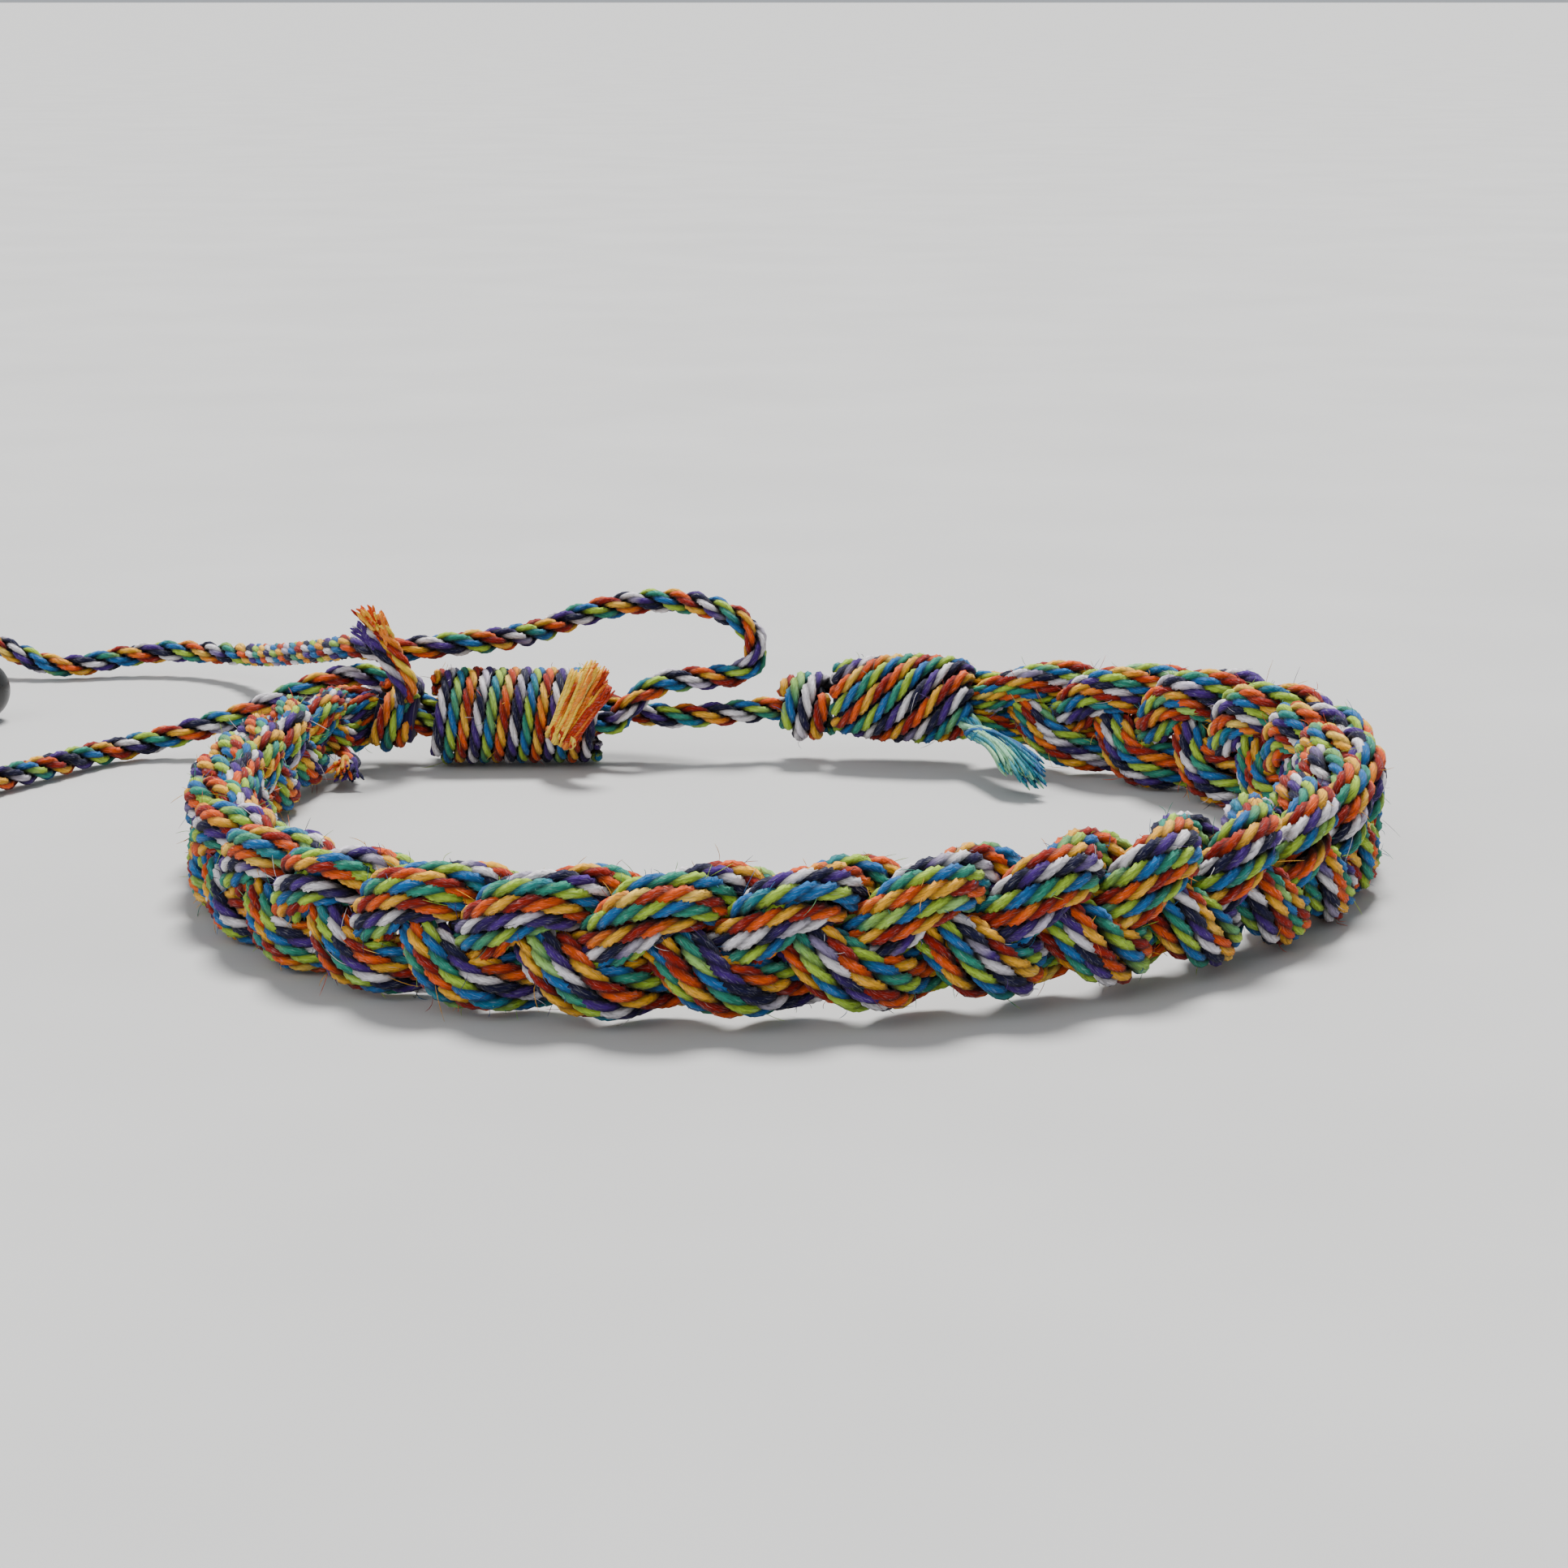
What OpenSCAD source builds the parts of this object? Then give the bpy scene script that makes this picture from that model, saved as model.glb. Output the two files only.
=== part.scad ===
// A braided cord bracelet: three thick strands of thin multicoloured cords, plaited flat and
// standing on edge as a ring, closed by two thin ties through a wound sliding knot.

/* [Plait] */
// Height of the flat plait at the front
band_h = 6.6; // [6.2:0.1:7]
// Thickness of the flat plait, as a share of its widest weave
flatness = 0.62; // [0.6:0.01:0.66]
// Length along the band in which a strand comes back to its place
period = 16.7; // [15.5:0.1:18]
// Gap between one strand and the next
strand_gap = 0.44; // [0.42:0.02:0.5]

/* [Ties] */
// Diameter of a tie
tie_d = 1.5; // [1.2:0.1:1.6]
// Diameter of the bead at the end of the left tie
bead_d = 3.7; // [3:0.1:4.2]

/* [Knots and bindings] */
// Outer diameter of the sliding knot
knot_d = 5.5; // [5.2:0.1:5.8]
// Turns of cord round the sliding knot
knot_turns = 14; // [12:1:15]
// Outer diameter of the small knot beside the right binding
end_knot_d = 4.1; // [3.6:0.1:4.4]
// Greatest diameter of the left binding
left_binding_d = 4.4; // [4.4:0.1:4.6]
// Greatest diameter of the right binding
right_binding_d = 5.2; // [4.6:0.1:5.4]

/* [Hidden] */
$fn = 48;

// Stations down the middle of the plait, from its left end round the front to its right end.
// Columns: x, y, size as a share of the front's, height of the lower edge.
X = 0;
Y = 1;
SIZE = 2;
LIFT = 3;
BAND = [
    [-22.7, 23.7, 0.47, 1.59],
    [-24.8, 22.6, 0.62, 0.8],
    [-26.1, 19.3, 0.74, 0.4],
    [-27.0, 14.7, 0.80, 0.1],
    [-27.6, 9.3, 0.84, 0.02],
    [-27.85, 3.7, 0.87, 0.02],
    [-27.4, -2.1, 0.90, 0.02],
    [-26.1, -8.3, 0.92, 0.02],
    [-23.4, -14.2, 0.93, 0.02],
    [-19.4, -19.4, 0.94, 0.1],
    [-14.1, -23.3, 0.96, 0.2],
    [-8.0, -25.5, 0.99, 0.3],
    [-1.7, -25.9, 1.00, 0.5],
    [4.6, -25.1, 1.02, 0.6],
    [10.7, -22.9, 1.04, 0.6],
    [16.3, -19.4, 1.06, 0.4],
    [21.0, -14.7, 1.08, 0.2],
    [24.6, -8.9, 1.10, 0.02],
    [26.8, -2.5, 1.12, 0.02],
    [27.35, 4.1, 1.12, 0.02],
    [25.9, 10.7, 1.12, 0.02],
    [22.5, 16.4, 1.08, 0.02],
    [18.1, 20.6, 0.98, 0.1],
    [14.0, 23.1, 0.80, 0.9],
    [10.5, 24.25, 0.49, 2.14]
];
// Change of each column over the first step and over the last one, so that both ends of the
// plait run straight into their bindings.
START_SLOPE = [-2.5, 0.3, 0.08, -0.3];
END_SLOPE = [-3.2, 0.5, -0.2, 1.2];

// Shares of half the band's height: how far a strand swings up and in or out, and the free half
// sizes of its section where it crosses the middle, where it lies on a face, and at an edge.
swing_up = 0.675;
swing_out = 0.477;
cross_half_w = 0.42;
face_half_w = 0.25;
cross_half_h = 0.52;
edge_half_h = 0.325;
// The same at an edge, towards the middle of the band, where it covers what crosses below it.
inward_half_h = 0.62;
// How sharply a section's corners turn where it comes up to its neighbours.
corner = 6;
strand_sides = 12;
rings_per_period = 18;
// Where along the band a strand is at its highest, which sets where the lobes fall.
lobe_at = 3.24;

// Stations and sizes of the wound pieces: [x, y, z] of the two ends of each one's axis.
LEFT_BINDING = [[-23.0, 23.7, 3.1], [-20.5, 23.5, 2.7]];
SLIDING_KNOT = [[-20.0, 24.6, 2.8], [-10.2, 24.8, 2.8]];
END_KNOT = [[-0.5, 25.9, 2.95], [2.15, 25.5, 3.15]];
RIGHT_BINDING = [[2.35, 25.45, 3.7], [10.8, 24.2, 3.8]];
// The mouths that hold the ends of the strands, the ways that the ties take, and how far a hole
// is cut past the outside of its piece.
socket_d = 3.84;
socket_depth = 0.65;
bore_gap = 0.18;
bore_d = tie_d + 2 * bore_gap;
tie_hole_depth = 0.8;
// Where the bead's middle lies on the last stretch of its tie, as a share of that stretch.
bead_place = 1.1;
past_end = 0.5;
// From the sliding knot's axis to the middle of its back way; the front way lies opposite.
BORE_SHIFT = [0, 0.95, 0.3];

// Routes of the ties, point by point from where each one leaves its end of the plait.
tie_sides = 8;
LEFT_TIE = [
    [-20.9, 23.53, 2.77], [-20.5, 23.5, 2.68], [-20.1, 23.6, 2.55], [-19.6, 23.65, 2.5],
    [-15.1, 23.75, 2.5], [-10.1, 23.85, 2.5], [-9.2, 23.9, 3.0], [-8.3, 24.1, 3.9],
    [-6.9, 25.0, 4.6], [-5.1, 25.7, 4.7], [-3.4, 26.15, 4.75], [-2.2, 26.4, 5.1],
    [-1.7, 26.5, 5.9], [-1.8, 26.7, 6.9], [-2.6, 27.0, 7.8], [-3.9, 27.8, 8.3],
    [-5.7, 29.0, 8.5], [-7.8, 29.9, 8.4], [-10.0, 30.3, 8.0], [-12.1, 29.7, 7.5],
    [-14.1, 28.0, 7.0], [-16.1, 26.0, 6.9], [-18.3, 24.7, 6.9], [-20.5, 24.4, 6.7],
    [-22.6, 24.7, 6.5], [-24.5, 26.5, 6.4], [-26.3, 30.1, 5.5], [-28.5, 35.1, 4.4],
    [-30.9, 40.7, 3.2], [-33.5, 46.5, 2.1], [-36.4, 49.3, 1.7], [-39.3, 50.3, 1.6],
    [-42.1, 50.1, 1.3], [-44.7, 49.3, 0.9], [-46.7, 49.1, 1.0], [-48.7, 49.6, 1.6],
    [-50.7, 50.2, 2.3], [-52.9, 50.3, 2.7], [-54.9, 48.9, 2.7], [-55.5, 46.2, 2.4],
    [-54.7, 43.2, 2.1], [-52.9, 40.5, 1.9], [-50.6, 38.2, 1.9], [-48.4, 36.65, 1.9]
];
RIGHT_TIE = [
    [0.0, 25.83, 2.99], [-0.8, 25.95, 2.93], [-2.6, 25.55, 2.8], [-4.7, 25.15, 2.7],
    [-6.8, 25.2, 2.65], [-8.2, 25.5, 2.8], [-9.2, 25.7, 3.0], [-10.0, 25.75, 3.1],
    [-15.1, 25.65, 3.1], [-20.2, 25.53, 3.08], [-20.8, 26.0, 3.65], [-21.2, 26.45, 4.1],
    [-21.8, 26.55, 4.35], [-22.6, 26.7, 4.5], [-23.5, 26.65, 4.65], [-24.5, 26.6, 4.7],
    [-26.1, 26.3, 4.4], [-27.7, 26.1, 3.8], [-29.4, 26.0, 3.1], [-31.1, 26.0, 2.4],
    [-32.8, 26.1, 1.9], [-34.5, 26.0, 1.4], [-36.2, 25.7, 1.0], [-37.8, 24.7, 0.8],
    [-39.1, 23.1, 0.8], [-40.5, 20.8, 0.8], [-42.0, 18.4, 0.8], [-43.7, 15.8, 0.8]
];

// Cut ends: the root and the tip of each tuft, and how its locks are drawn.
LEFT_TUFT = [[-20.9, 22.0, 5.0], [-23.4, 21.4, 9.6]];
RIGHT_TUFT = [[10.5, 21.7, 2.4], [13.5, 15.1, 0.9]];
KNOT_TUFT = [[-12.5, 21.0, 2.1], [-10.1, 21.0, 6.5]];
INNER_TUFT = [[-23.9, 20.2, 1.1], [-24.1, 17.4, 0.7]];
lock_sides = 4;
lock_depth = 0.3;
tuft_step = 0.2;
tip_thinning = 0.4;
// How far the grooves between wound turns are open, as a share of the cord.
groove = 0.28;
// Turns of the tapering right binding, the radii of the left binding's four turns, and the
// radius of the outermost turns of the other wound pieces, as shares of the greatest.
right_turns = 8;
left_taper = [1, 0.94, 0.78, 0.64];
spindle_end = 0.84;
knot_end = 0.93;
end_knot_end = 0.86;

function unit(v) = v / norm(v);
function mid(a, b, share) = a + (b - a) * share;

// A smooth curve through the stations, and its direction, at station number u.
heading_step = 0.02;
function station(i) = BAND[min(max(i, 0), len(BAND) - 1)];
function slope(i) =
    i == 0 ? START_SLOPE
    : i == len(BAND) - 1 ? END_SLOPE
    : (station(i + 1) - station(i - 1)) / 2;
function ease(t) = t * t * (3 - 2 * t);
function on_band(u) =
    let (i = min(floor(u), len(BAND) - 2), t = u - i, a = station(i), b = station(i + 1))
    a * (1 - ease(t)) + b * ease(t)
    + slope(i) * (t * (1 - t) * (1 - t)) - slope(i + 1) * (t * t * (1 - t));
function heading(u) =
    let (d = on_band(min(u + heading_step, len(BAND) - 1)) - on_band(max(u - heading_step, 0)))
    unit([d[X], d[Y]]);

// Length along the band at closely spaced places, for even steps.
fine = 20;
fine_at = [for (i = [0 : (len(BAND) - 1) * fine]) on_band(i / fine)];
function flat_step(i) =
    let (d = fine_at[i] - fine_at[i - 1])
    norm([d[X], d[Y]]);
lengths = [for (i = 0, s = 0; i < len(fine_at); i = i + 1,
                s = s + (i < len(fine_at) ? flat_step(i) : 0)) s];
band_length = lengths[len(lengths) - 1];
place_of = [for (i = [0 : len(lengths) - 1]) [lengths[i], i / fine]];
ring_count = ceil(band_length / period * rings_per_period);

// Where a strand lies in the band's section. It swings once up and down and twice in and out
// for each period, so it passes over one neighbour and under the other.
function place(phase) = [flatness * swing_out * sin(2 * phase), swing_up * sin(phase)];

// How far a strand reaches from its place towards a direction: to its free outline, and no
// further than halfway to either neighbour, less half the gap.
function inverse_reach(towards, other, half_gap) =
    let (share = towards * other / norm(other))
    share > 0 ? share / (norm(other) / 2 - half_gap) : 0;
function reach(towards, phase, half_gap) =
    let (own = place(phase),
         w = mid(cross_half_w, face_half_w, pow(sin(2 * phase), 2)),
         edge_h = towards[1] * sin(phase) > 0 ? edge_half_h : inward_half_h,
         h = mid(cross_half_h, edge_h, pow(sin(phase), 2)),
         free = norm([towards[0] / w, towards[1] / h]),
         one = inverse_reach(towards, place(phase + 120) - own, half_gap),
         two = inverse_reach(towards, place(phase + 240) - own, half_gap))
    pow(pow(free, corner) + pow(one, corner) + pow(two, corner), -1 / corner);

// One ring of a strand's skin, at length s along the band.
function strand_ring(s, turn) =
    let (u = lookup(s, place_of), at = on_band(u), go = heading(u),
         out = [go[1], -go[0]], half = at[SIZE] * band_h / 2,
         phase = 360 * (s - lobe_at) / period + 90 + turn, own = place(phase))
    [for (k = [0 : strand_sides - 1])
        let (towards = [cos(360 * k / strand_sides), -sin(360 * k / strand_sides)],
             spot = own + towards * reach(towards, phase, strand_gap / 2 / half))
        [at[X] + out[0] * spot[0] * half, at[Y] + out[1] * spot[0] * half,
         at[LIFT] + half * (1 + spot[1])]];

// A closed skin over a list of rings with the same number of points each. Each four-sided
// patch is cut along its shorter diagonal.
function patch(p, a, b, c, d) =
    norm(p[a] - p[c]) < norm(p[b] - p[d]) ? [[a, b, c], [a, c, d]] : [[a, b, d], [b, c, d]];
module skin(rings) {
    n = len(rings[0]);
    last = len(rings) - 1;
    points = [for (r = rings) each r];
    polyhedron(
        points = points,
        faces = concat(
            [[for (k = [0 : n - 1]) k]],
            [for (i = [0 : last - 1], k = [0 : n - 1])
                let (on = i * n + n, after = (k + 1) % n)
                each patch(points, i * n + k, on + k, on + after, i * n + after)],
            [[for (k = [n - 1 : -1 : 0]) last * n + k]]),
        convexity = 10);
}

// Rings of a tube along a route, each square to the way on. The first ring's side is carried
// from ring to ring, so the tube doesn't twist.
function way(p, i) = unit(p[min(i + 1, len(p) - 1)] - p[max(i - 1, 0)]);
function carried(side, to) = unit(side - to * (side * to));
function tube_rings(p, radii, sides) =
    let (first = carried(abs(way(p, 0)[2]) < 0.9 ? [0, 0, 1] : [0, 1, 0], way(p, 0)),
         side_at = [for (i = 0, s = first; i < len(p); i = i + 1,
                         s = i < len(p) ? carried(s, way(p, i)) : s) s])
    [for (i = [0 : len(p) - 1])
        let (a = side_at[i], b = cross(way(p, i), a))
        [for (k = [0 : sides - 1])
            p[i] + radii[i] * (a * cos(360 * k / sides) + b * sin(360 * k / sides))]];

module tube(p, d, sides) {
    skin(tube_rings(p, [for (q = p) d / 2], sides));
}

// Turns the Z axis onto the line from p to q, with the piece standing at p.
module stand(p, q) {
    v = q - p;
    translate(p)
        rotate([0, acos(v[2] / norm(v)), atan2(v[1], v[0])])
            children();
}

// Cord wound side by side round an axis: one ridge for each turn, its radius by its place,
// over a core that fills the grooves to a share of the cord's thickness.
module wound(line, radii) {
    turns = len(radii);
    pitch = norm(line[1] - line[0]) / turns;
    core = [for (r = radii) r - pitch * groove];
    stand(line[0], line[1])
        rotate_extrude()
            union() {
                polygon([[0, 0], [core[0], 0],
                         for (i = [0 : turns - 1]) [core[i], (i + 0.5) * pitch],
                         [core[turns - 1], turns * pitch], [0, turns * pitch]]);
                for (i = [0 : turns - 1])
                    translate([radii[i] - pitch / 2, (i + 0.5) * pitch])
                        circle(d = pitch);
            }
}

// The two ways through the sliding knot, side by side and a little one above the other.
module tie_bores(line) {
    for (side = [-1, 1])
        translate(side * BORE_SHIFT)
            hole(line[0], line[1], bore_d, norm(line[1] - line[0]) + past_end);
}

// A round hole that starts at one end of a piece and goes towards the other.
module hole(at, towards, d, depth) {
    stand(at - unit(towards - at) * past_end, towards)
        cylinder(d = d, h = depth + past_end);
}

// Cut ends from a root to a tip: a bundle that fans out into locks, which show as lobes round
// its section and run deeper towards the tip.
module tuft(line, root_w, tip_w, thick, locks, curl) {
    along = line[1] - line[0];
    side = unit(cross(along, curl));
    face = unit(cross(side, along));
    n = lock_sides * locks;
    skin([for (t = [0 : tuft_step : 1])
        [for (k = [0 : n - 1])
            let (a = 360 * k / n, lobe = 1 + lock_depth * t * cos(locks * a),
                 w = mid(root_w, tip_w, t) / 2, d = thick / 2 * (1 - tip_thinning * t * t))
            line[0] + along * t + curl * sin(180 * t)
            + side * w * cos(a) * lobe - face * d * sin(a) * lobe]]);
}

function strand_rings(turn) =
    [for (i = [0 : ring_count]) strand_ring(band_length * i / ring_count, turn)];

module strand_a() {
    color("darkorange") skin(strand_rings(0));
}

module strand_b() {
    color("steelblue") skin(strand_rings(120));
}

module strand_c() {
    color("mediumpurple") skin(strand_rings(240));
}

module left_binding() {
    r = left_binding_d / 2;
    color("chocolate")
        difference() {
            wound(LEFT_BINDING, r * left_taper);
            hole(LEFT_BINDING[0], LEFT_BINDING[1], socket_d, socket_depth);
            hole(LEFT_BINDING[1], LEFT_BINDING[0], bore_d, tie_hole_depth);
        }
}

module right_binding() {
    r = right_binding_d / 2;
    color("cadetblue")
        difference() {
            wound(RIGHT_BINDING, [for (t = [0 : right_turns - 1])
                r * mid(spindle_end, 1, sin(180 * (t + 0.5) / right_turns))]);
            hole(RIGHT_BINDING[1], RIGHT_BINDING[0], socket_d, socket_depth);
        }
}

module end_knot() {
    r = end_knot_d / 2;
    color("indianred")
        difference() {
            wound(END_KNOT, [r * end_knot_end, r, r, r * end_knot_end]);
            hole(END_KNOT[0], END_KNOT[1], bore_d, tie_hole_depth);
        }
}

module sliding_knot() {
    r = knot_d / 2;
    color("lightsteelblue")
        difference() {
            wound(SLIDING_KNOT, [for (t = [1 : knot_turns]) t % knot_turns < 2 ? r * knot_end : r]);
            tie_bores(SLIDING_KNOT);
        }
}

module left_tie() {
    color("coral") tube(LEFT_TIE, tie_d, tie_sides);
}

module right_tie() {
    color("goldenrod") tube(RIGHT_TIE, tie_d, tie_sides);
}

module tie_bead() {
    before = LEFT_TIE[len(LEFT_TIE) - 2];
    end = LEFT_TIE[len(LEFT_TIE) - 1];
    centre = mid(before, end, bead_place);
    color("black")
        difference() {
            translate([centre[0], centre[1], bead_d / 2]) sphere(d = bead_d);
            hole(before, end, bore_d, norm(end - before) + bore_gap);
        }
}

module left_tuft() {
    color("orangered")
        tuft(LEFT_TUFT, root_w = 1.3, tip_w = 2.2, thick = 1.2, locks = 4, curl = [0.3, 0.2, 0.2]);
}

module right_tuft() {
    color("teal")
        tuft(RIGHT_TUFT, root_w = 1.5, tip_w = 3.4, thick = 1.2, locks = 5, curl = [0, 0, 0.6]);
}

module knot_tuft() {
    color("orange")
        tuft(KNOT_TUFT, root_w = 2.2, tip_w = 3.0, thick = 1.3, locks = 5, curl = [0, -0.4, 0]);
}

module inner_tuft() {
    color("sienna")
        tuft(INNER_TUFT, root_w = 1.0, tip_w = 1.5, thick = 0.9, locks = 3, curl = [0, 0, 0.3]);
}

strand_a();
strand_b();
strand_c();
left_binding();
right_binding();
end_knot();
sliding_knot();
left_tie();
right_tie();
tie_bead();
left_tuft();
right_tuft();
knot_tuft();
inner_tuft();
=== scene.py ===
"""The looks of a braided cord bracelet: a flat plait of three strands, each a twisted bundle of
thin three-ply cords, standing on edge as a ring and closed by two ties through a wound knot."""

import math

import bpy  # noqa: E402
import numpy as np  # noqa: E402
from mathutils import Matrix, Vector  # noqa: E402


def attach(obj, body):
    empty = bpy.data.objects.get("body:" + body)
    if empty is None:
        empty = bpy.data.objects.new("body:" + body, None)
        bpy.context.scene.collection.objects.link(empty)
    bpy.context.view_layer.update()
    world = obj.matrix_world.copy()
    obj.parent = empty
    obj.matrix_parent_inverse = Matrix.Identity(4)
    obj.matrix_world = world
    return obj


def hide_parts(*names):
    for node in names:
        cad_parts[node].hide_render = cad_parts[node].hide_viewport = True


MM = 0.001
TAU = 2 * math.pi
rng = np.random.default_rng(27)

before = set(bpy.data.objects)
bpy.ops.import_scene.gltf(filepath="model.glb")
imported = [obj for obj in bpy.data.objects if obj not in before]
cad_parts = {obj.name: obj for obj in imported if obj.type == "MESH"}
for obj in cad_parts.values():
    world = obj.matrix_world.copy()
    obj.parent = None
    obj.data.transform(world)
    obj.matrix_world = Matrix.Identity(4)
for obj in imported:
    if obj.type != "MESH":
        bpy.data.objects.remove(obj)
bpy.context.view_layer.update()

# Camera
EYE = Vector((-0.1, -163.1, 42.0)) * MM
LOOK_DOWN = math.radians(12.95)
LENS = 78.26

camera_data = bpy.data.cameras.new("camera")
camera_data.lens = LENS
camera_data.sensor_width = 36
camera_data.clip_start = 0.01
camera = bpy.data.objects.new("camera", camera_data)
camera.location = EYE
camera.rotation_euler = (math.pi / 2 - LOOK_DOWN, 0, 0)
bpy.context.scene.collection.objects.link(camera)
bpy.context.scene.camera = camera


# Small helpers
def unit(v):
    return v / np.maximum(np.linalg.norm(v, axis=-1, keepdims=True), 1e-12)


def smooth(values, window):
    """A running mean along the first axis that keeps both ends in place."""
    if window < 2:
        return values
    pad = window // 2
    ends = [np.repeat(values[:1], pad, 0), values, np.repeat(values[-1:], pad, 0)]
    total = np.cumsum(np.concatenate([np.zeros_like(values[:1]), *ends]), axis=0)
    mean = (total[2 * pad + 1 :] - total[: -2 * pad - 1]) / (2 * pad + 1)
    mean[0], mean[-1] = values[0], values[-1]
    return mean


def arc(points):
    return np.r_[0, np.cumsum(np.linalg.norm(np.diff(points, axis=0), axis=1))]


def even(points, step, *others):
    """The same line with points at an even spacing, and other values along it."""
    at = arc(points)
    count = max(int(round(at[-1] / step)), 3) + 1
    want = np.linspace(0, at[-1], count)
    line = np.stack([np.interp(want, at, points[:, i]) for i in range(3)], axis=1)
    return (line, *[np.interp(want, at, o) for o in others])


CURVE_POINTS = 24


def curve_through(points, step):
    """A smooth line through given points."""
    p = np.asarray(points, float)
    p = np.concatenate([2 * p[:1] - p[1:2], p, 2 * p[-1:] - p[-2:-1]])
    made = []
    t = np.linspace(0, 1, CURVE_POINTS, endpoint=False)[:, None]
    for i in range(1, len(p) - 2):
        a, b, c, d = p[i - 1], p[i], p[i + 1], p[i + 2]
        made.append(
            0.5
            * (
                2 * b
                + (c - a) * t
                + (2 * a - 5 * b + 4 * c - d) * t**2
                + (3 * b - a - 3 * c + d) * t**3
            )
        )
    made.append(p[-2:-1])
    return even(np.concatenate(made), step)[0]


def wander(count, step, reach, size):
    """A smooth random walk: count values, one each step mm, that wander over about reach mm."""
    knots = max(int(count * step / reach) + 4, 5)
    x = np.linspace(0, knots - 1.001, count)
    values = rng.normal(0, size, knots + 1)
    low = x.astype(int)
    t = x - low
    t = t * t * (3 - 2 * t)
    return values[low] * (1 - t) + values[low + 1] * t


# Cords as meshes
PLY_PROFILE = np.array([0.66, 0.95, 0.95] * 3)
INNER_PROFILE = np.ones(6)
PLIES = 3
# Where a tube of one ply's dye lies in that ply's third of the UV map.
ONE_PLY_START, ONE_PLY_WIDTH = 0.1, 0.13


def sides_along(points, first):
    """Two directions square to the line at each point, carried along it without twisting."""
    t = unit(np.gradient(points, axis=0))
    n = np.empty_like(points)
    side = np.asarray(first, float)
    for i in range(len(points)):
        side = side - t[i] * side.dot(t[i])
        side = side / max(np.linalg.norm(side), 1e-9)
        n[i] = side
    return t, n, np.cross(n, t)


class Pile:
    """Gathers tubes of dyed cord and makes one mesh of them."""

    def __init__(self):
        self.co, self.loops, self.sizes, self.uv = [], [], [], []
        self.tint, self.open, self.kinds = [], [], []
        self.count = 0

    def tube(self, points, radius, kind, lay=0.0, profile=PLY_PROFILE, side=(0, 0, 1),
             tip=0.5, outward=None, ply=None):
        """A tube whose section turns once each lay mm, so that its plies wind round it. Outward is
        the open side at each point;
        how far each vertex faces it goes into the 'open' attribute, which the cloth uses for
        painted shade, and with no outward nothing is shaded. Ply says which ply's dye a single ply
        has."""
        m, k = len(points), len(profile)
        radius = np.broadcast_to(np.asarray(radius, float), (m,)).copy()
        radius[0] *= tip
        radius[-1] *= tip
        at = arc(points)
        _, a, b = sides_along(points, side)
        turn = rng.random() * TAU + (TAU * at / lay if lay else np.zeros(m))
        angle = TAU * np.arange(k) / k + turn[:, None]
        way = np.cos(angle)[..., None] * a[:, None] + np.sin(angle)[..., None] * b[:, None]
        ring = points[:, None] + (radius[:, None] * profile)[..., None] * way
        i = np.arange(m - 1)[:, None] * k
        j = np.arange(k)[None]
        j2 = (j + 1) % k
        quads = np.stack([i + j, i + k + j, i + k + j2, i + j2], -1).reshape(-1, 4)
        v0 = np.repeat(at[:-1], k)
        v1 = np.repeat(at[1:], k)
        low, wide = (0, 1) if ply is None else (ply / PLIES + ONE_PLY_START, ONE_PLY_WIDTH)
        u0 = np.tile(low + wide * np.arange(k) / k, m - 1)
        u1 = u0 + wide / k
        caps = np.r_[np.arange(k), (m - 1) * k + np.arange(k)[::-1]]
        cap_uv = np.c_[np.tile(low + wide * np.arange(k) / k, 2), np.repeat([0, at[-1]], k)]
        self.co.append(ring.reshape(-1, 3))
        self.loops += [quads.ravel() + self.count, caps + self.count]
        self.sizes += [np.full(len(quads), 4), np.full(2, k)]
        self.uv += [np.stack([u0, v0, u0, v1, u1, v1, u1, v0], -1).reshape(-1, 2), cap_uv]
        self.tint.append(np.full(m * k, rng.random()))
        # Painted shade: the cloth darkens each vertex by how far it faces away from outward.
        facing = np.ones((m, k)) if outward is None else (way * outward[:, None]).sum(2)
        self.open.append(facing.ravel())
        self.kinds += [kind] * (len(quads) + 2)
        self.count += m * k

    def mesh(self, name):
        sizes = np.concatenate(self.sizes)
        loops = np.concatenate(self.loops)
        mesh = bpy.data.meshes.new(name)
        mesh.vertices.add(self.count)
        mesh.vertices.foreach_set("co", (np.concatenate(self.co) * MM).ravel().astype(np.float32))
        mesh.loops.add(len(loops))
        mesh.loops.foreach_set("vertex_index", loops.astype(np.int32))
        mesh.polygons.add(len(sizes))
        mesh.polygons.foreach_set("loop_start", np.r_[0, np.cumsum(sizes)[:-1]].astype(np.int32))
        used = sorted(set(self.kinds))
        index = np.array([used.index(kind) for kind in self.kinds], np.int32)
        for kind in used:
            mesh.materials.append(cloth[kind])
        mesh.polygons.foreach_set("material_index", index)
        mesh.update(calc_edges=True)
        mesh.shade_smooth()
        layer = mesh.uv_layers.new(name="UVMap")
        layer.data.foreach_set("uv", np.concatenate(self.uv).ravel().astype(np.float32))
        # 'open' carries the facing that the cloth turns into painted shade.
        for word, values in (("tint", self.tint), ("open", self.open)):
            attribute = mesh.attributes.new(word, "FLOAT", "POINT")
            attribute.data.foreach_set("value", np.concatenate(values).astype(np.float32))
        obj = bpy.data.objects.new(name, mesh)
        bpy.context.scene.collection.objects.link(obj)
        return obj


def part(obj, node):
    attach(obj, "root")
    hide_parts(node)
    return obj


# Materials
def srgb(code):
    """A colour written as six hex digits, as the linear values that a shader takes."""
    parts = [int(code[i : i + 2], 16) / 255 for i in (0, 2, 4)]
    return tuple(
        (c / 12.92 if c <= 0.04045 else ((c + 0.055) / 1.055) ** 2.4) for c in parts
    ) + (1.0,)


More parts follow.
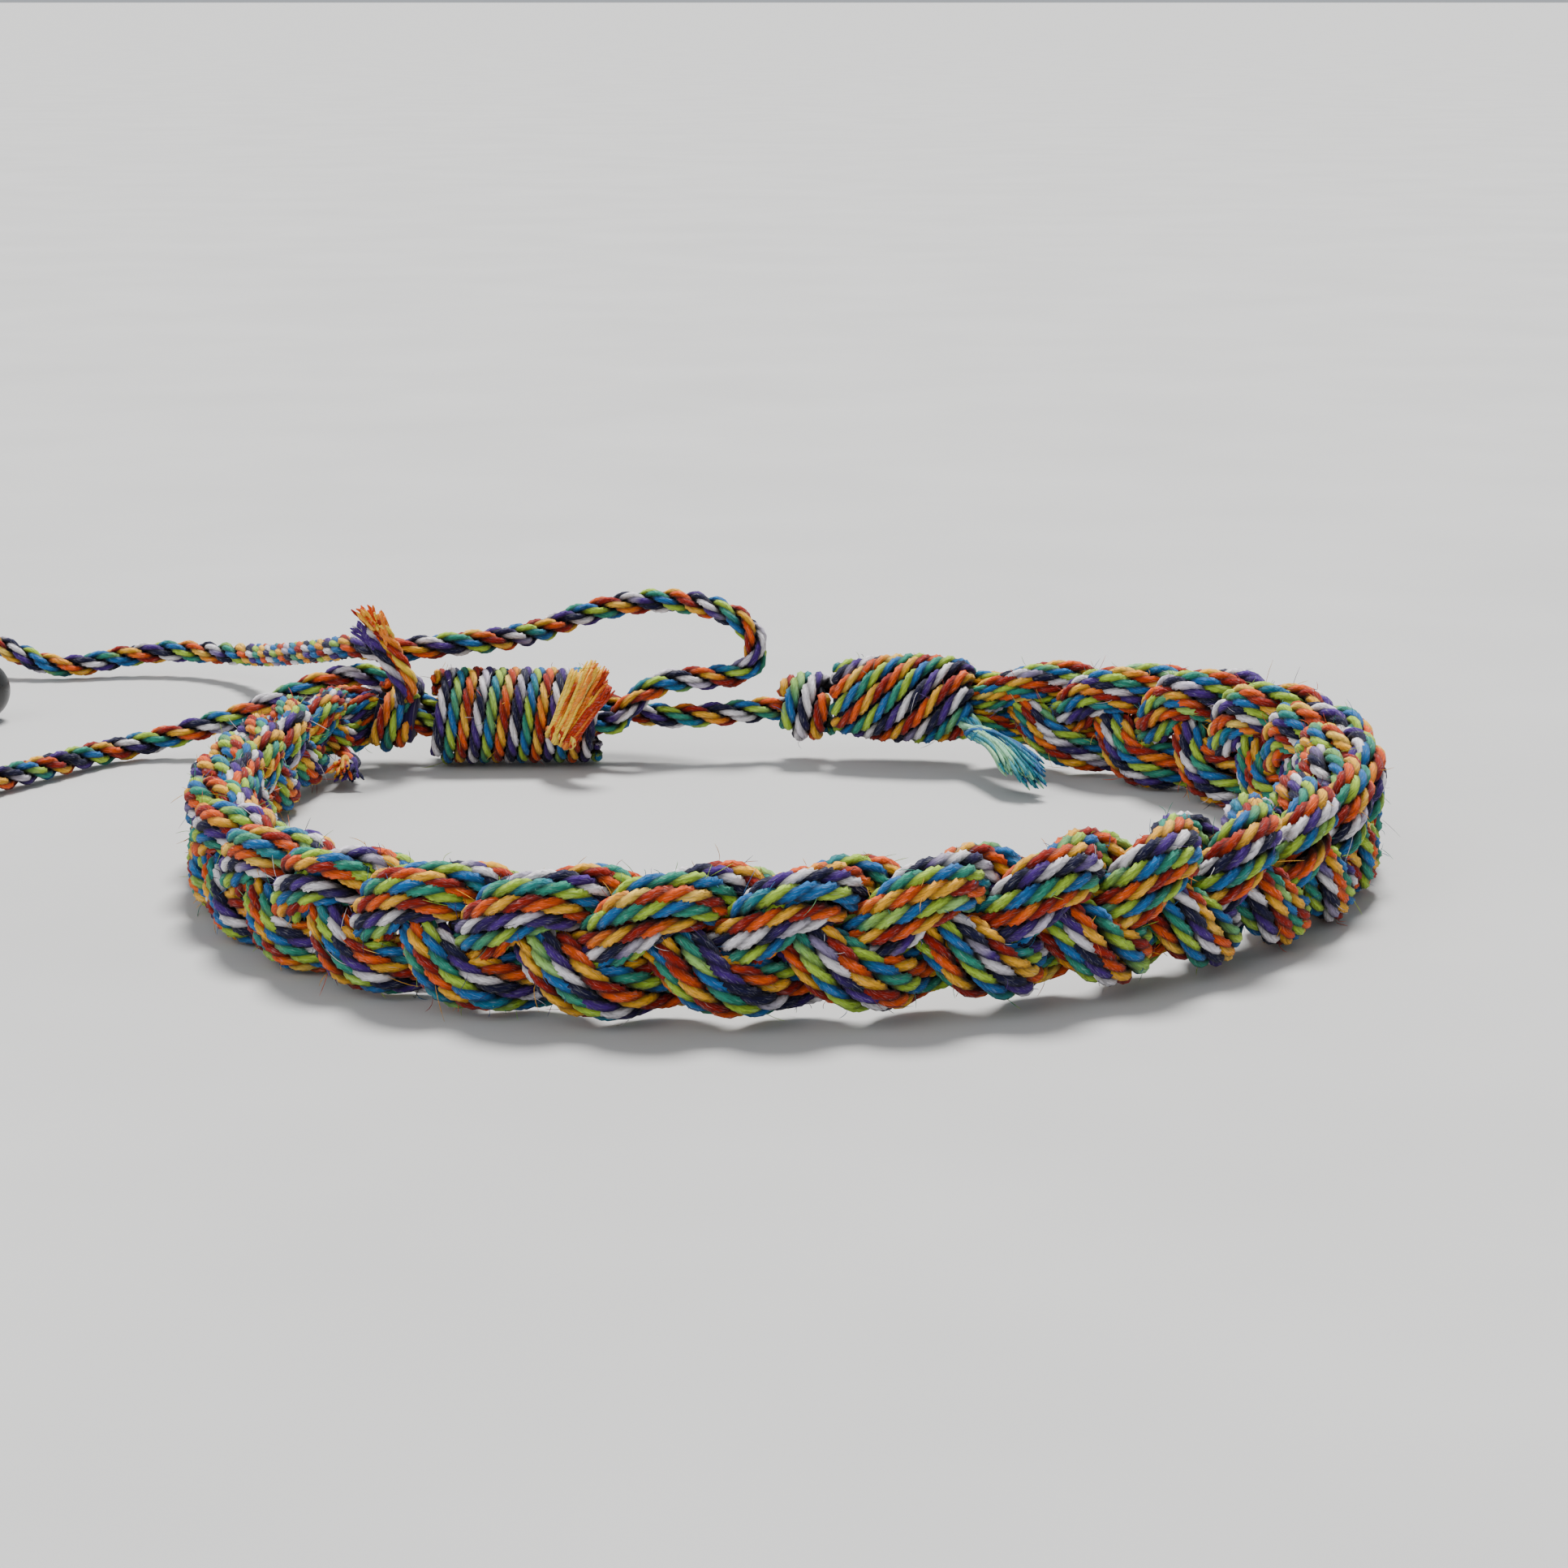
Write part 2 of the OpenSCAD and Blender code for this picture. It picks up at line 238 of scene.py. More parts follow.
FAMILIES = {
    "warm": ["FCB62C", "EC5A10", "981A08", "FFD660"],
    "cool": ["ACD040", "2C9078", "1C6CB0", "94D494"],
    "violet": ["F0EAF0", "4A2680", "17173C", "D8CCE6"],
    "gold": ["FFD23C", "F98A24", "B8300A", "FFE070"],
    "sea": ["8CC8A0", "2C8C9A", "1C5C90", "B4DC9C"],
}


class Nodes:
    """Short ways to add and join shader nodes."""

    def __init__(self, material):
        material.use_nodes = True
        self.tree = material.node_tree
        self.shader = self.tree.nodes["Principled BSDF"]

    def add(self, kind, **values):
        node = self.tree.nodes.new(kind)
        for name, value in values.items():
            setattr(node, name, value)
        return node

    def join(self, source, target):
        if isinstance(source, (int, float)):
            target.default_value = source
        else:
            self.tree.links.new(source, target)

    def math(self, operation, a, b=None, c=None):
        node = self.add("ShaderNodeMath", operation=operation)
        for value, socket in zip((a, b, c), node.inputs):
            if value is not None:
                self.join(value, socket)
        return node.outputs[0]

    def noise(self, vector, scale, detail=2.0, rough=0.5):
        node = self.add("ShaderNodeTexNoise")
        node.inputs["Scale"].default_value = scale
        node.inputs["Detail"].default_value = detail
        node.inputs["Roughness"].default_value = rough
        self.join(vector, node.inputs["Vector"])
        return node.outputs[0]

    def vector(self, x, y, z):
        node = self.add("ShaderNodeCombineXYZ")
        for value, socket in zip((x, y, z), node.inputs):
            self.join(value, socket)
        return node.outputs[0]

    def ramp(self, factor, stops, constant=False):
        node = self.add("ShaderNodeValToRGB")
        node.color_ramp.interpolation = "CONSTANT" if constant else "LINEAR"
        elements = node.color_ramp.elements
        while len(elements) < len(stops):
            elements.new(0.5)
        for element, (place, colour) in zip(elements, stops):
            element.position = place
            element.color = colour
        self.join(factor, node.inputs[0])
        return node.outputs[0]

    def mix(self, factor, a, b, how="MIX"):
        node = self.add("ShaderNodeMix", data_type="RGBA", blend_type=how)
        for value, socket in ((factor, node.inputs[0]), (a, node.inputs[6]), (b, node.inputs[7])):
            if isinstance(value, tuple):
                socket.default_value = value
            else:
                self.join(value, socket)
        return node.outputs[2]


def grey(value):
    return (value, value, value, 1.0)


PLY_SPREAD = 0.29
DYE_DRIFT = 0.6
CORD_DRIFT = 0.8


def plied(name, colours, lay):
    """Dyed cotton cord of three plies. The UV map gives the place round a cord, which stays
    with its ply, and the length along it in mm."""
    material = bpy.data.materials.new(name)
    n = Nodes(material)
    uv = n.add("ShaderNodeSeparateXYZ")
    n.join(n.add("ShaderNodeUVMap", uv_map="UVMap").outputs[0], uv.inputs[0])
    round_at, along = uv.outputs[0], uv.outputs[1]
    tint = n.add("ShaderNodeAttribute", attribute_name="tint").outputs["Fac"]
    is_open = n.add("ShaderNodeAttribute", attribute_name="open").outputs["Fac"]
    thirds = n.math("MULTIPLY", round_at, 3.0)
    ply = n.math("FLOOR", thirds)
    across = n.math("FRACT", thirds)
    cord_seed = n.math("MULTIPLY", tint, 91.0)
    own = n.math("MULTIPLY_ADD", ply, 7.3, cord_seed)

    # The whole cord drifts slowly through its family of dyes, and each ply a little beside it.
    dye = n.noise(n.vector(n.math("MULTIPLY", along, 0.22), own, 0.0), 1.0, 1.0)
    common = n.noise(n.vector(n.math("MULTIPLY", along, 0.07), cord_seed, 5.0), 1.0, 1.0)
    step = n.math("MULTIPLY_ADD", ply, PLY_SPREAD, 0.5 - PLY_SPREAD)
    step = n.math("MULTIPLY_ADD", n.math("SUBTRACT", dye, 0.5), DYE_DRIFT, step)
    step = n.math("MULTIPLY_ADD", n.math("SUBTRACT", common, 0.5), CORD_DRIFT, step)
    shades = [srgb(c) for c in colours]
    stops = [(0.0, shades[3]), (0.12, shades[0]), (0.34, shades[0]), (0.44, shades[1])]
    stops += [(0.6, shades[1]), (0.7, shades[2]), (1.0, shades[2])]
    colour = n.ramp(step, stops)

    # Fibres lie nearly along the cord, so they run slantwise over the turning plies.
    slant = n.math("MULTIPLY_ADD", along, 0.75 / lay, round_at)
    fibre_place = n.vector(n.math("MULTIPLY", slant, 26.0), n.math("MULTIPLY", along, 1.3), own)
    fibre = n.noise(fibre_place, 1.0, 3.0, 0.6)
    fleck_place = n.vector(n.math("MULTIPLY", slant, 60.0), n.math("MULTIPLY", along, 2.5), own)
    fleck = n.noise(fleck_place, 1.0)
    colour = n.mix(0.9, colour, n.ramp(fibre, [(0.3, grey(0.4)), (0.55, grey(1.0))]), "MULTIPLY")
    pale = n.math("MULTIPLY", n.math("SUBTRACT", fleck, 0.56), 1.2)
    colour = n.mix(n.math("MAXIMUM", pale, 0.0), colour, grey(0.86))
    # Painted shade: the colour is darkened in the groove where a ply meets its neighbour, and on
    # the side of a cord that faces into the strand, where the cords shade each other.
    groove = n.math("ABSOLUTE", n.math("SUBTRACT", across, 0.5))
    colour = n.mix(1.0, colour, n.ramp(groove, [(0.2, grey(1.0)), (0.5, grey(0.3))]), "MULTIPLY")
    # Painted shade on a cord's inner side, from the 'open' attribute: how far each vertex faces out
    # of the strand.
    inner = n.math("MULTIPLY_ADD", is_open, 0.5, 0.5)
    colour = n.mix(1.0, colour, n.ramp(inner, [(0.3, grey(0.1)), (0.78, grey(1.0))]), "MULTIPLY")
    n.join(colour, n.shader.inputs["Base Color"])

    n.join(n.math("MULTIPLY_ADD", fibre, 0.25, 0.66), n.shader.inputs["Roughness"])
    n.shader.inputs["Sheen Weight"].default_value = 0.1
    n.shader.inputs["Sheen Roughness"].default_value = 0.5
    n.shader.inputs["Specular IOR Level"].default_value = 0.15
    bump = n.add("ShaderNodeBump")
    bump.inputs["Strength"].default_value = 0.8
    bump.inputs["Distance"].default_value = 0.06 * MM
    height = n.math("ADD", fibre, n.math("MULTIPLY", fleck, 0.5))
    deep = n.math("MULTIPLY", n.math("MULTIPLY", groove, groove), 3.0)
    n.join(n.math("SUBTRACT", height, deep), bump.inputs["Height"])
    n.join(bump.outputs[0], n.shader.inputs["Normal"])
    return material


CORD_R = 0.44
CORD_LAY = 2.8
CORD_STEP = 0.28
cloth = {kind: plied("cord_" + kind, c, CORD_LAY) for kind, c in FAMILIES.items()}
ORDER = ["warm", "cool", "violet"]

# The two ties
LEFT_TIE = [
    (-20.9, 23.53, 2.77), (-20.5, 23.5, 2.68), (-20.1, 23.6, 2.55), (-19.6, 23.65, 2.5),
    (-15.1, 23.75, 2.5), (-10.1, 23.85, 2.5), (-9.2, 23.9, 3.0), (-8.3, 24.1, 3.9),
    (-6.9, 25.0, 4.6), (-5.1, 25.7, 4.7), (-3.4, 26.15, 4.75), (-2.2, 26.4, 5.1),
    (-1.7, 26.5, 5.9), (-1.8, 26.7, 6.9), (-2.6, 27.0, 7.8), (-3.9, 27.8, 8.3),
    (-5.7, 29.0, 8.5), (-7.8, 29.9, 8.4), (-10.0, 30.3, 8.0), (-12.1, 29.7, 7.5),
    (-14.1, 28.0, 7.0), (-16.1, 26.0, 6.9), (-18.3, 24.7, 6.9), (-20.5, 24.4, 6.7),
    (-22.6, 24.7, 6.5), (-24.5, 26.5, 6.4), (-26.3, 30.1, 5.5), (-28.5, 35.1, 4.4),
    (-30.9, 40.7, 3.2), (-33.5, 46.5, 2.1), (-36.4, 49.3, 1.7), (-39.3, 50.3, 1.6),
    (-42.1, 50.1, 1.3), (-44.7, 49.3, 0.9), (-46.7, 49.1, 1.0), (-48.7, 49.6, 1.6),
    (-50.7, 50.2, 2.3), (-52.9, 50.3, 2.7), (-54.9, 48.9, 2.7), (-55.5, 46.2, 2.4),
    (-54.7, 43.2, 2.1), (-52.9, 40.5, 1.9), (-50.6, 38.2, 1.9), (-48.4, 36.65, 1.9),
]
RIGHT_TIE = [
    (0.0, 25.83, 2.99), (-0.8, 25.95, 2.93), (-2.6, 25.55, 2.8), (-4.7, 25.15, 2.7),
    (-6.8, 25.2, 2.65), (-8.2, 25.5, 2.8), (-9.2, 25.7, 3.0), (-10.0, 25.75, 3.1),
    (-15.1, 25.65, 3.1), (-20.2, 25.53, 3.08), (-20.8, 26.0, 3.65), (-21.2, 26.45, 4.1),
    (-21.8, 26.55, 4.35), (-22.6, 26.7, 4.5), (-23.5, 26.65, 4.65), (-24.5, 26.6, 4.7),
    (-26.1, 26.3, 4.4), (-27.7, 26.1, 3.8), (-29.4, 26.0, 3.1), (-31.1, 26.0, 2.4),
    (-32.8, 26.1, 1.9), (-34.5, 26.0, 1.4), (-36.2, 25.7, 1.0), (-37.8, 24.7, 0.8),
    (-39.1, 23.1, 0.8), (-40.5, 20.8, 0.8), (-42.0, 18.4, 0.8), (-43.7, 15.8, 0.8),
]
TIE_LAY = 4.5
TIE_CORD_R = 0.36
TIE_CORD_OFF = 0.39
TIE_CORE_R = 0.2
TIE_STEP = 0.25


def tie(name, node, table):
    """Three cords twisted together. On a level stretch seen from the front they run down to
    the right."""
    line = curve_through(table, TIE_STEP)
    _, a, b = sides_along(line, (0, -1, 0))
    at = arc(line)
    pile = Pile()
    for k, kind in enumerate(ORDER):
        angle = TAU * k / len(ORDER) - TAU * at / TIE_LAY
        outward = np.cos(angle)[:, None] * a + np.sin(angle)[:, None] * b
        pile.tube(line + TIE_CORD_OFF * outward, TIE_CORD_R, kind, CORD_LAY, outward=outward)
    # The core has no open side, so the cloth's painted shade darkens it to about half.
    pile.tube(line, TIE_CORE_R, "violet", 0, INNER_PROFILE, outward=np.zeros_like(line), ply=2)
    obj = part(pile.mesh(name), node)


# The bead at the end of the left tie, turned with a hole for the tie
BEAD_R = 1.85
BEAD_SIDES = 64
BEAD_RINGS = 40
# How far along the last step of the tie the bead's middle lies.
BEAD_PLACE = 1.1
HOLE_R = 0.93
# The hole's floor, and its wall's end and lip, measured from the bead's middle.
HOLE_FLOOR, HOLE_WALL, HOLE_LIP = 1.0, -1.2, -1.42
LIP_FLARE = 0.03
BEAD_EDGE = 0.25


def turned(name, profile, start, towards, sides, material):
    """A closed solid turned round the line from start towards another point. The profile is
    [distance along the line, radius] from one end of the axis to the other."""
    start = np.asarray(start, float)
    along = unit(np.asarray(towards, float) - start)
    a = unit(np.cross(along, (0, 0, 1)))
    b = np.cross(along, a)
    angle = TAU * np.arange(sides) / sides
    ring = np.cos(angle)[:, None] * a + np.sin(angle)[:, None] * b
    co = [start + x * along + r * ring for x, r in profile[1:-1]]
    co = np.concatenate([*co, [start + x * along for x, _ in (profile[0], profile[-1])]])
    last = len(profile) - 3
    first_tip, last_tip = len(co) - 2, len(co) - 1
    faces = []
    for j in range(sides):
        j2 = (j + 1) % sides
        faces.append((first_tip, j2, j))
        faces.append((last_tip, last * sides + j, last * sides + j2))
        for i in range(last):
            faces.append((i * sides + j, i * sides + j2, (i + 1) * sides + j2, (i + 1) * sides + j))
    mesh = bpy.data.meshes.new(name)
    mesh.from_pydata((co * MM).tolist(), [], faces)
    mesh.shade_smooth()
    mesh.materials.append(material)
    obj = bpy.data.objects.new(name, mesh)
    bpy.context.scene.collection.objects.link(obj)
    return obj


def dark_gloss():
    material = bpy.data.materials.new("bead")
    n = Nodes(material)
    place = n.add("ShaderNodeTexCoord").outputs["Object"]
    cloud = n.noise(place, 900.0, 4.0)
    scratch = n.noise(place, 5200.0, 2.0)
    n.join(n.ramp(cloud, [(0.3, grey(0.008)), (0.75, grey(0.03))]), n.shader.inputs["Base Color"])
    n.join(n.math("MULTIPLY_ADD", scratch, 0.22, 0.2), n.shader.inputs["Roughness"])
    bump = n.add("ShaderNodeBump")
    bump.inputs["Strength"].default_value = 0.15
    bump.inputs["Distance"].default_value = 0.02 * MM
    n.join(scratch, bump.inputs["Height"])
    n.join(bump.outputs[0], n.shader.inputs["Normal"])
    return material


hole_at, tie_end = np.array(LEFT_TIE[-2]), np.array(LEFT_TIE[-1])
bead_way = unit(tie_end - hole_at)
bead_middle = hole_at + BEAD_PLACE * (tie_end - hole_at)
bead_middle[2] = BEAD_R
rim = math.asin((HOLE_R + BEAD_EDGE) / BEAD_R)
turn_down = np.linspace(rim, math.pi, BEAD_RINGS)
outer = [(-BEAD_R * math.cos(t), BEAD_R * math.sin(t)) for t in turn_down]
inner = [(HOLE_FLOOR, 0.0), (HOLE_FLOOR, HOLE_R), (HOLE_WALL, HOLE_R)]
inner.append((HOLE_LIP, HOLE_R + LIP_FLARE))
bead = turned(
    "tie_bead_turned", inner + outer, bead_middle, bead_middle + bead_way, BEAD_SIDES,
    dark_gloss(),
)
part(bead, "tie_bead")

tie("left_tie_cord", "left_tie", LEFT_TIE)
tie("right_tie_cord", "right_tie", RIGHT_TIE)

# The plait
BAND = np.array([
    (-22.7, 23.7, 0.47, 1.59), (-24.8, 22.6, 0.62, 0.8), (-26.1, 19.3, 0.74, 0.4),
    (-27.0, 14.7, 0.80, 0.1), (-27.6, 9.3, 0.84, 0.02), (-27.85, 3.7, 0.87, 0.02),
    (-27.4, -2.1, 0.90, 0.02), (-26.1, -8.3, 0.92, 0.02), (-23.4, -14.2, 0.93, 0.02),
    (-19.4, -19.4, 0.94, 0.1), (-14.1, -23.3, 0.96, 0.2), (-8.0, -25.5, 0.99, 0.3),
    (-1.7, -25.9, 1.00, 0.5), (4.6, -25.1, 1.02, 0.6), (10.7, -22.9, 1.04, 0.6),
    (16.3, -19.4, 1.06, 0.4), (21.0, -14.7, 1.08, 0.2), (24.6, -8.9, 1.10, 0.02),
    (26.8, -2.5, 1.12, 0.02), (27.35, 4.1, 1.12, 0.02), (25.9, 10.7, 1.12, 0.02),
    (22.5, 16.4, 1.08, 0.02), (18.1, 20.6, 0.98, 0.1), (14.0, 23.1, 0.80, 0.9),
    (10.5, 24.25, 0.49, 2.14),
])
# Columns of BAND: x, y, size as a share of the front's, height of the lower edge.
SIZE, LIFT = 2, 3
START_SLOPE = np.array([-2.5, 0.3, 0.08, -0.3])
END_SLOPE = np.array([-3.2, 0.5, -0.2, 1.2])
BAND_DIVISIONS = 60
BAND_H = 6.6
FLATNESS = 0.62
PERIOD = 16.7
LOBE_AT = 3.24
SWING_UP = 0.675
SWING_OUT = 0.477
CROSS_W, FACE_W = 0.50, 0.26
CROSS_H, EDGE_H = 0.66, 0.325
INWARD_H = 0.70
CORNER = 10
STRAND_GAP = -0.5
BUNDLE_LAY = 13.0
OUTER_CORDS = 8
INNER_CORDS = 2
INNER_RING = 0.62
INNER_STEP = 0.5
# A strand's sections lie this far apart, and each is searched along this many rays.
SECTION_STEP = 0.2
RAYS = 36
RAY_REACH = np.linspace(0.1, 3.0, 30)
# The share of a cord's radius that doesn't shrink with the band.
FIXED_GAUGE = 0.5
# Slow random changes along a cord, as reach in mm and size: its place round the strand, its
# depth in it and its radius.
PLACE_WANDER = (9.0, 0.018)
DEPTH_WANDER = (5.0, 0.03)
GAUGE_WANDER = (4.0, 0.04)
HAIRS = 80
HAIR_R = 0.016
HAIR_POINTS = 5
HAIR_END_GAP = 4
HAIR_PROFILE = np.ones(3)


def band_tables():
    """Place, size and lift along the band at close even steps of its length."""
    last = len(BAND) - 1
    slope = np.empty_like(BAND)
    slope[0], slope[last] = START_SLOPE, END_SLOPE
    slope[1:last] = (BAND[2:] - BAND[:-2]) / 2
    u = np.linspace(0, last, last * BAND_DIVISIONS + 1)
    i = np.minimum(u.astype(int), last - 1)
    t = (u - i)[:, None]
    e = t * t * (3 - 2 * t)
    rows = BAND[i] * (1 - e) + BAND[i + 1] * e
    rows += slope[i] * t * (1 - t) ** 2 - slope[i + 1] * t * t * (1 - t)
    at = np.r_[0, np.cumsum(np.hypot(*np.diff(rows[:, :2], axis=0).T))]
    return at, rows


BAND_AT, BAND_ROWS = band_tables()
BAND_LENGTH = BAND_AT[-1]
BAND_WAY = unit(np.gradient(BAND_ROWS[:, :2], BAND_AT, axis=0))


def band(s, column):
    return np.interp(s, BAND_AT, BAND_ROWS[:, column])


def half(s):
    return band(s, SIZE) * BAND_H / 2


def to_space(s, out, up):
    """From the straightened band (along, outward, up from its middle) to the row frame."""
    wx = np.interp(s, BAND_AT, BAND_WAY[:, 0])
    wy = np.interp(s, BAND_AT, BAND_WAY[:, 1])
    z = band(s, LIFT) + half(s) + up
    past = s - np.clip(s, 0, BAND_LENGTH)
    return np.stack([band(s, 0) + wx * past + wy * out, band(s, 1) + wy * past - wx * out, z], -1)


def swing(phase):
    return np.stack([FLATNESS * SWING_OUT * np.sin(2 * phase), SWING_UP * np.sin(phase)], -1)


def turn_to_space(s, away):
    """A direction in the straightened band, turned to the row frame."""
    wx = np.interp(s, BAND_AT, BAND_WAY[:, 0])
    wy = np.interp(s, BAND_AT, BAND_WAY[:, 1])
    go, out, up = away.T
    return unit(np.stack([go * wx + out * wy, go * wy - out * wx, up], -1))


def phase_at(s, turn):
    return TAU * (s - LOBE_AT) / PERIOD + TAU / 4 + turn


def outside(s, out, up, turn):
    """How far a point of the straightened band lies out from its strand's middle, as a share
    of the way to the strand's skin. It follows the CAD strand's skin, but reaches a little past
    the face half-way to each neighbour, so that no gap shows between the strands."""
    size = half(s)
    phase = phase_at(s, turn)
    own = swing(phase)
    away = np.stack([out / size, up / size], -1) - own
    r = np.linalg.norm(away, axis=-1)
    d = away / np.maximum(r, 1e-9)[..., None]
    w = CROSS_W + (FACE_W - CROSS_W) * np.sin(2 * phase) ** 2
    edge_h = np.where(d[..., 1] * np.sin(phase) > 0, EDGE_H, INWARD_H)
    h = CROSS_H + (edge_h - CROSS_H) * np.sin(phase) ** 2
    total = np.hypot(d[..., 0] / w, d[..., 1] / h) ** CORNER
    for other_turn in (TAU / 3, 2 * TAU / 3):
        other = swing(phase + other_turn) - own
        length = np.linalg.norm(other, axis=-1)
        share = np.maximum((d * other).sum(-1) / length, 0)
        total += (share / (length / 2 - STRAND_GAP / 2 / size)) ** CORNER
    return r * total ** (1 / CORNER)


def strand_cords(turn):
    """Paths of a strand's cords in the row frame. They lie round the strand's middle, square
    to its own way, and turn round it against the turn of their plies."""
    s = np.arange(-SECTION_STEP, BAND_LENGTH + SECTION_STEP, SECTION_STEP)
    middle = swing(phase_at(s, turn)) * half(s)[:, None]
    line = np.c_[s, middle]
    way = unit(np.gradient(line, axis=0))
    a = unit(np.array([0, 1, 0]) - way * way[:, 1:2])
    b = np.array([0, 0, 1]) - way * way[:, 2:3]
    b = unit(b - a * (a * b).sum(1, keepdims=True))
    run = arc(line)
    angle = TAU * np.arange(RAYS) / RAYS
    d = np.cos(angle)[None, :, None] * a[:, None] + np.sin(angle)[None, :, None] * b[:, None]
    spot = line[:, None, None] + RAY_REACH[None, None, :, None] * d[:, :, None]
    out = outside(spot[..., 0], spot[..., 1], spot[..., 2], turn)
    inside = np.minimum.accumulate(out < 1, axis=2).sum(2)
    hi = np.clip(inside, 1, len(RAY_REACH) - 1)
    lo_v, hi_v = (np.take_along_axis(out, k[..., None], 2)[..., 0] for k in (hi - 1, hi))
    part_way = np.clip((1 - lo_v) / np.maximum(hi_v - lo_v, 1e-6), 0, 1)
    reach = RAY_REACH[hi - 1] + part_way * (RAY_REACH[hi] - RAY_REACH[hi - 1])
    reach = smooth(reach, 5)
    cord_r = CORD_R * np.minimum(1, FIXED_GAUGE + (1 - FIXED_GAUGE) * band(s, SIZE))
    ring = np.maximum(reach - cord_r[:, None], 0.1)
    edge = ring[..., None] * np.stack([np.cos(angle), np.sin(angle)], -1)[None]
    closed = np.concatenate([edge, edge[:, :1]], axis=1)
    round_at = np.concatenate(
        [np.zeros((len(s), 1)), np.cumsum(np.linalg.norm(np.diff(closed, axis=1), axis=2), 1)], 1
    )
    made = []
    for k in range(OUTER_CORDS + INNER_CORDS):
        if k < OUTER_CORDS:
            drift = wander(len(s), SECTION_STEP, *PLACE_WANDER)
            share = k / OUTER_CORDS - run / BUNDLE_LAY + drift
            want = (share % 1) * round_at[:, -1]
            flat = np.empty((len(s), 2))
            for i in range(len(s)):
                flat[i, 0] = np.interp(want[i], round_at[i], closed[i, :, 0])
                flat[i, 1] = np.interp(want[i], round_at[i], closed[i, :, 1])
            kind = ORDER[k % len(ORDER)]
        else:
            spun = TAU * ((k - OUTER_CORDS) / INNER_CORDS - run / BUNDLE_LAY)
            ray = np.interp((spun % TAU).ravel(), np.r_[angle, TAU], np.arange(RAYS + 1))
            near = ring[np.arange(len(s)), np.round(ray).astype(int) % RAYS] - 2 * cord_r
            flat = INNER_RING * smooth(np.maximum(near, 0.2), 9)[:, None]
            flat = flat * np.stack([np.cos(spun), np.sin(spun)], -1)
            kind = ORDER[(k - OUTER_CORDS) % len(ORDER)]
        flat = smooth(flat, 5)
        flat *= 1 + wander(len(s), SECTION_STEP, *DEPTH_WANDER)[:, None]
        path = line + flat[:, :1] * a + flat[:, 1:] * b
        path = smooth(path, 3)
        outward = turn_to_space(path[:, 0], unit(flat[:, :1] * a + flat[:, 1:] * b))
        space = to_space(path[:, 0], path[:, 1], path[:, 2])
        r = cord_r * (1 + wander(len(s), SECTION_STEP, *GAUGE_WANDER))
        step = CORD_STEP if k < OUTER_CORDS else INNER_STEP
        space, r, *outward = even(space, step, r, *outward.T)
        made.append((kind, space, r, unit(np.stack(outward, -1)), k < OUTER_CORDS))
    return made


def hairs(pile, path, r, outward, kind, count):
    """Single fibres that stand off a cord on its open side."""
    way = unit(np.gradient(path, axis=0))
    t = np.linspace(0, 1, HAIR_POINTS)[:, None]
    for i in rng.integers(HAIR_END_GAP, len(path) - HAIR_END_GAP, count):
        side = np.cross(way[i], outward[i])
        lean = rng.normal(0, 0.8, 3)
        height = rng.uniform(0.15, 0.6)
        root = path[i] + r[i] * 0.85 * unit(outward[i] + 0.6 * lean[0] * side)
        end = outward[i] + lean[0] * side + lean[1] * way[i]
        curl = lean[2] * way[i] + rng.normal(0, 0.5) * side
        line = root + height * (t * end + t * t * curl)
        line[:, 2] = np.maximum(line[:, 2], HAIR_R)
        pile.tube(line, HAIR_R, kind, 0, HAIR_PROFILE, tip=0.4, ply=int(rng.integers(PLIES)))


for node, turn in (("strand_a", 0), ("strand_b", TAU / 3), ("strand_c", 2 * TAU / 3)):
    pile = Pile()
    for kind, path, r, outward, is_outer in strand_cords(turn):
        profile = PLY_PROFILE if is_outer else INNER_PROFILE
        pile.tube(path, r, kind, CORD_LAY, profile, outward=outward)
        if is_outer:
            hairs(pile, path, r, outward, kind, HAIRS)
    part(pile.mesh(node + "_cords"), node)

# The wound pieces: bindings and knots
LEFT_BINDING = ((-23.0, 23.7, 3.1), (-20.5, 23.5, 2.7))
SLIDING_KNOT = ((-20.0, 24.6, 2.8), (-10.2, 24.8, 2.8))
END_KNOT = ((-0.5, 25.9, 2.95), (2.9, 25.42, 3.3))
RIGHT_BINDING = ((2.35, 25.45, 3.7), (10.8, 24.2, 3.8))
WOUND_STEP = 0.25
WOUND_POINTS = 400
# Slow random changes along a wound cord, as reach in points and size.
TURN_WANDER = (60, 0.03)
RADIUS_WANDER = (40, 0.012)
TUCK_REACH = 0.35
POINTS_A_HAIR = 18
CORE_POINTS = 24
CORE_PROFILE = np.ones(24)
KNOT_LENGTH = 9.8
KNOT_TURNS = 14
KNOT_INNER_TURNS = 13


